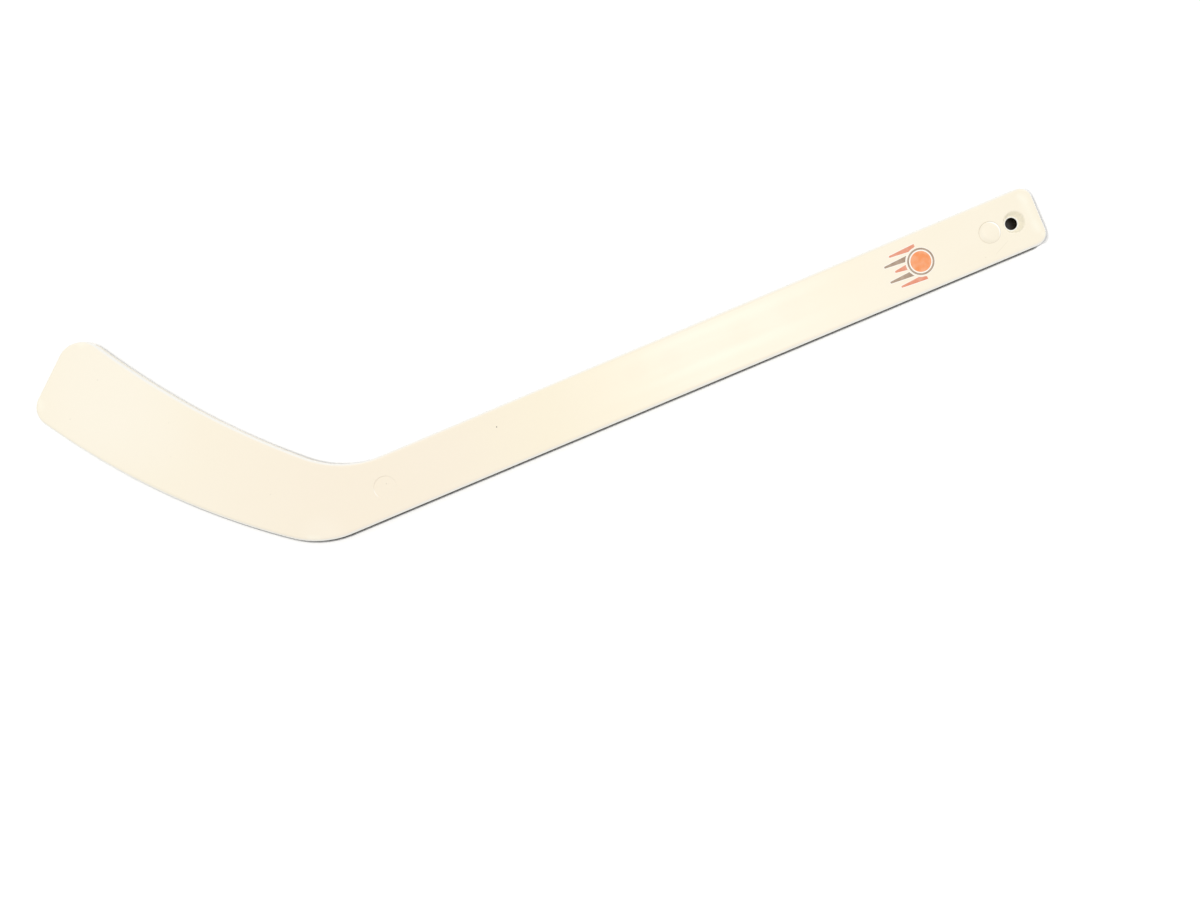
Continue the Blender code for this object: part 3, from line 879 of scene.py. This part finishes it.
def ivoryColour(tree, place, height):
    # Paler and tinted patches, one of them painted light at the heel's outer edge, and a painted highlight
    # on the rims, then the painted light and shade of the round marks, specks of burnt resin and painted
    # shade blotches, a hairline scratch, and painted highlights on the corners
    top = stick["thickness"]
    patches = addNode(tree, "TexNoise", {"Vector": place, "Scale": 1000 / ivory["patchSize"], "Detail": 2.0})
    coats = [(patches, ivory["paler"], 1.0)]
    for middle, (full, ended), strength, tint in ivory["tints"]:
        coats.append((nearMask(tree, place, inScene(middle, top), full, ended), tint, strength))

    fromEdge = addNode(tree, "Attribute", attribute_name="from_edge").outputs["Fac"]
    fromMiddle = farFrom(tree, height, top / 2 * 0.001)
    full, ended = ivory["rimWidth"]
    none, whole = (limit * 0.001 for limit in ivory["rimHeight"])
    paintedRimHighlight = 1.0
    for value, low, high in ((fromEdge, ended, full), (fromMiddle, none, whole)):
        share = addNode(tree, "MapRange", {"Value": value, "From Min": low, "From Max": high},
                        interpolation_type="SMOOTHSTEP")
        paintedRimHighlight = addNode(tree, "Math", {0: paintedRimHighlight, 1: share}, operation="MULTIPLY")
    coats.append((paintedRimHighlight, ivory["rim"], 1.0))

    flat = addNode(tree, "VectorMath", {0: place, 1: (1, 1, 0)}, operation="MULTIPLY")
    coats += roundMarkCoats(tree, flat)
    full, ended = ivory["speckFade"]
    for point, radius, dark in ivory["specks"]:
        speck = nearMask(tree, place, inScene(point, top), radius * full, radius * ended)
        coats.append((speck, ivory["dirtAndPaintedShade"], dark))
    lines = [(ivory["dirtAndPaintedShade"], ivory["scratch"])] + [(ivory["paintedHighlight"], paintedHighlight) for paintedHighlight in ivory["paintedHighlights"]]
    for colour, (start, end, width, strength) in lines:
        coats.append((lineMask(tree, place, start, end, width), colour, strength))
    return painted(tree, ivory["colour"], coats)


def ivoryRoughness(tree, place, across):
    # Duller between two polished streaks down the shaft with ragged edges, and in long thin flow marks
    def noiseAlong(size, detail):
        stretched = addNode(tree, "Mapping",
                            {"Vector": place, "Scale": (size[0] * 0.001, size[1] * 0.001, 1.0)},
                            vector_type="TEXTURE")
        return addNode(tree, "TexNoise", {"Vector": stretched, "Scale": 1.0, "Detail": detail})

    low, high = ivory["flowSpan"]
    dullness = addNode(tree, "MapRange",
                       {"Value": noiseAlong(ivory["flowSize"], 2.0), "From Min": low, "From Max": high,
                        "To Min": ivory["flowLeast"], "To Max": 1.0})
    waves = noiseAlong(ivory["raggedSize"], 3.0)
    waved = addNode(tree, "Math", {0: waves, 1: ivory["ragged"] * 0.002, 2: across},
                    operation="MULTIPLY_ADD")
    for middle, halfWidth in ivory["polished"]:
        level = (middle + ivory["ragged"] - sketchMiddle[1]) * 0.001
        ended = halfWidth * ivory["polishedFade"] * 0.001
        off = addNode(tree, "MapRange",
                      {"Value": farFrom(tree, waved, level), "From Min": 0.0, "From Max": ended,
                       "To Min": ivory["polishedLeast"], "To Max": 1.0}, interpolation_type="SMOOTHSTEP")
        dullness = addNode(tree, "Math", {0: dullness, 1: off}, operation="MULTIPLY")
    return addNode(tree, "Math", {0: dullness, 1: ivory["dull"], 2: ivory["roughness"]},
                   operation="MULTIPLY_ADD")


def ivoryAbs():
    # ABS, injection moulded in a finely polished tool: warm ivory with a satin gloss and faint flow marks
    material, tree = newMaterial("ivory_abs_moulded")
    place = addNode(tree, "TexCoord").outputs["Object"]
    split = addNode(tree, "SeparateXYZ", {"Vector": place}).outputs
    grain = addNode(tree, "TexNoise", {"Vector": place, "Scale": 1000 / ivory["grainSize"], "Detail": 1.0})
    bump = addNode(tree, "Bump", {"Height": grain, "Distance": ivory["grainHeight"] * 0.001})
    shader = addNode(tree, "BsdfPrincipled",
                     {"Base Color": ivoryColour(tree, place, split["Z"]), "IOR": ivory["ior"],
                      "Roughness": ivoryRoughness(tree, place, split["Y"]), "Normal": bump})
    addNode(tree, "OutputMaterial", {"Surface": shader})
    return material


inkWear = {
    "worn": ((4.0, 0.22), (0.5, 0.10)),  # size in mm and strength: thin patches, and the pad's fine mottle
    "span": (0.35, 0.75),  # values of their noise where the ink is unworn and most worn
    "under": "#FAEFD8",  # what shows through
    "ior": 1.5,
}


def printInk(name, hexValue, roughness):
    # Pad-printing ink: a thin flat colour with a dull satin face, a little faded where the film is thin
    material, tree = newMaterial(name)
    place = addNode(tree, "TexCoord").outputs["Object"]
    unworn, worn = inkWear["span"]
    coats = []
    for size, strength in inkWear["worn"]:
        noise = addNode(tree, "TexNoise", {"Vector": place, "Scale": 1000 / size, "Detail": 1.0})
        thin = addNode(tree, "MapRange", {"Value": noise, "From Min": unworn, "From Max": worn})
        coats.append((thin, inkWear["under"], strength))
    colour = painted(tree, hexValue, coats)
    shader = addNode(tree, "BsdfPrincipled",
                     {"Base Color": colour, "Roughness": roughness, "IOR": inkWear["ior"]})
    addNode(tree, "OutputMaterial", {"Surface": shader})
    return material


# Floor, lamps, world and camera

studio = {
    "floorSize": 12.0,  # metres
    "floorColour": 0.75,
    "floorSeen": 1.16,  # its colour to the camera: over 1, so that all but the contact line turns white
    "contactSpan": (0.51, 1.0),  # share of open sky where the contact line is black and where it ends
    "world": 0.73,  # strength of the light from all round
}

# The painted shadow where the stick meets the floor, a dark line worked out from how much open sky the floor
# has nearby: its reach in mm, by how many degrees it is shifted away from the light, and the light's side in
# degrees from the shaft's line. The blade's and the butt's take over between two places along the shaft.
contact = {
    "shaft": {"reach": 2.0, "tilt": 40.0, "side": 95.0},
    "blade": {"reach": 2.55, "tilt": 57.0, "side": 62.0, "from": 25.0, "to": -25.0},
    "butt": {"reach": 5.5, "tilt": 47.0, "side": 145.0,
             "from": stick["shaftLength"] - 4.5, "to": stick["shaftLength"] + 4.0},
}


def flatFace(name, corners, material):
    # One face from its corners in metres
    mesh = bpy.data.meshes.new(name)
    mesh.from_pydata(corners, [], [tuple(range(len(corners)))])
    mesh.materials.append(material)
    return addObject(name, mesh)


def paleBackground(tree, plain, shown):
    # The plain shader for light that falls on the object, the other for what the camera and gloss see
    path = addNode(tree, "LightPath").outputs
    seen = path["Is Camera Ray"]
    for ray in ("Is Glossy Ray", "Is Transmission Ray"):
        seen = addNode(tree, "Math", {0: seen, 1: path[ray]}, operation="MAXIMUM")
    return addNode(tree, "MixShader", {0: seen, 1: plain, 2: shown})


def openSky(tree):
    # Share of open sky that each point of the floor has within reach. The reach and the way it looks are
    # the shaft's, plus what the blade and the butt add by a smooth share along the shaft.
    place = addNode(tree, "TexCoord").outputs["Object"]
    along = addNode(tree, "SeparateXYZ", {"Vector": place}).outputs["X"]
    ways = {name: skyward(facts["side"], 90 - facts["tilt"]) for name, facts in contact.items()}
    reach, facing = contact["shaft"]["reach"] * 0.001, ways["shaft"]
    for name in ("blade", "butt"):
        facts = contact[name]
        start, end = ((facts[side] - sketchMiddle[0]) * 0.001 for side in ("from", "to"))
        share = addNode(tree, "MapRange", {"Value": along, "From Min": start, "From Max": end},
                        interpolation_type="SMOOTHSTEP")
        farther = (facts["reach"] - contact["shaft"]["reach"]) * 0.001
        turn = ways[name] - ways["shaft"]
        reach = addNode(tree, "Math", {0: share, 1: farther, 2: reach}, operation="MULTIPLY_ADD")
        facing = addNode(tree, "VectorMath", {0: share, 1: turn, 2: facing}, operation="MULTIPLY_ADD")
    facing = addNode(tree, "VectorMath", {0: facing}, operation="NORMALIZE")
    sky = addNode(tree, "AmbientOcclusion", {"Distance": reach, "Normal": facing}, samples=4)
    return sky.outputs["AO"]


def makeFloor():
    # Matt white card: one square, which turns white to the camera but for the contact line, a painted shadow
    material, tree = newMaterial("matt_white_floor")
    level = studio["floorColour"]
    card = addNode(tree, "BsdfDiffuse", {"Color": (level, level, level, 1.0)})
    black, ended = studio["contactSpan"]
    clear = addNode(tree, "MapRange",
                    {"Value": openSky(tree), "From Min": black, "From Max": ended,
                     "To Min": 0.0, "To Max": studio["floorSeen"]})
    seen = addNode(tree, "BsdfDiffuse", {"Color": clear})
    addNode(tree, "OutputMaterial", {"Surface": paleBackground(tree, card, seen)})
    h = studio["floorSize"] / 2
    floor = flatFace("floor", [(-h, -h, 0), (h, -h, 0), (h, h, 0), (-h, h, 0)], material)


underHole = {
    "colour": "#1E1712",
    "roughness": 0.35,
    "width": 0.92,  # share of the hole's mouth
    "height": 0.05,  # mm over the floor
    "corners": 64,
}


def makeUnderHole():
    # A dark disc on the floor inside the hole's lower bowl, so that the hole reads dark from above
    u = underHole
    material, tree = newMaterial("dark_table_under_hole")
    shader = addNode(tree, "BsdfPrincipled",
                     {"Base Color": colourFrom(u["colour"]), "Roughness": u["roughness"]})
    addNode(tree, "OutputMaterial", {"Surface": shader})
    angle = np.linspace(0, 2 * math.pi, u["corners"], endpoint=False)
    radius = u["width"] * hole["mouth"] / 2
    rim = centreOf(hole) - sketchMiddle + radius * around(angle)
    disc = flatFace("under_hole", np.insert(rim, 2, u["height"], axis=1) * 0.001, material)


def makeWorld():
    # Light from all round, plain white to the camera
    world = bpy.data.worlds.new("studio")
    world.use_nodes = True
    tree = world.node_tree
    tree.nodes.clear()
    fill, white = (addNode(tree, "Background", {"Color": (1, 1, 1, 1), "Strength": strength})
                   for strength in (studio["world"], 1.0))
    addNode(tree, "OutputWorld", {"Surface": paleBackground(tree, fill, white)})
    bpy.context.scene.world = world


suns = {  # degrees, and W/m2
    "back": {"turn": 110.0, "rise": 38.0, "softness": 25.0, "level": 0.23},
    "window": {"turn": 25.0, "rise": 33.0, "softness": 20.0, "level": 0.32},
    "front": {"turn": 290.0, "rise": 38.0, "softness": 40.0, "level": 0.17},
}

panels = {  # metres, degrees and W. The first looks straight down, the other at the scene's middle
    "sheen": {"place": (0.260, -0.002, 1.0), "heading": (0, 0, -1), "size": (0.31, 0.124),
              "roll": 26.0, "power": 1.22},
    "toe": {"place": (-0.75, 0.35, 0.9), "heading": (0.75, -0.35, -0.9), "size": (0.7, 0.7),
            "roll": 0.0, "power": 1.0},
}


def addLight(light, place, heading, roll=0.0):
    # A light that faces along a heading, rolled about it by some degrees
    holder = addObject(light.name, light)
    holder.location = place
    facing = Vector(heading).to_track_quat("-Z", "Y")
    holder.rotation_euler = (facing @ Quaternion((0, 0, 1), math.radians(roll))).to_euler()


def makeLamps():
    # Wide distant lights from behind the shaft, from beyond the butt and, weaker, from the front, a panel
    # that is mirrored in the middle of the shaft, and a fill beside the toe
    for name, facts in suns.items():
        sun = bpy.data.lights.new(name, "SUN")
        sun.energy = facts["level"]
        sun.angle = math.radians(facts["softness"])
        towards = skyward(facts["turn"], facts["rise"])
        addLight(sun, towards, -towards)
    for name, facts in panels.items():
        panel = bpy.data.lights.new(name, "AREA")
        panel.shape = "RECTANGLE"
        panel.size, panel.size_y = facts["size"]
        panel.energy = facts["power"]
        addLight(panel, facts["place"], facts["heading"], facts["roll"])


camera = {
    "place": (0.00235, -0.08625, 0.4886),  # metres
    "turn": -22.806,  # degrees about the way it looks, so that the shaft rises to the right
    "lens": 27.18,  # mm, on a sensor this wide
    "sensor": 36.0,
    "nearest": 0.01,
}


def makeCamera():
    # Straight down at the stick
    eye = bpy.data.cameras.new("camera")
    eye.lens = camera["lens"]
    eye.sensor_width = camera["sensor"]
    eye.clip_start = camera["nearest"]
    holder = addObject("camera", eye)
    holder.location = camera["place"]
    holder.rotation_euler = (0, 0, math.radians(camera["turn"]))
    bpy.context.scene.camera = holder


print("outline")
lowest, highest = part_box("stick_moulding")
sketchMiddle = np.array((stick["shaftLength"] - 1000 * highest[0], -1000 * lowest[1]))
print("sketch middle", sketchMiddle)

print("moulding")
makeMoulding(ivoryAbs())

print("print")
makePrint()

print("stage")
makeFloor()
makeUnderHole()
makeWorld()
makeLamps()
makeCamera()
bpy.context.scene.view_settings.view_transform = "Standard"
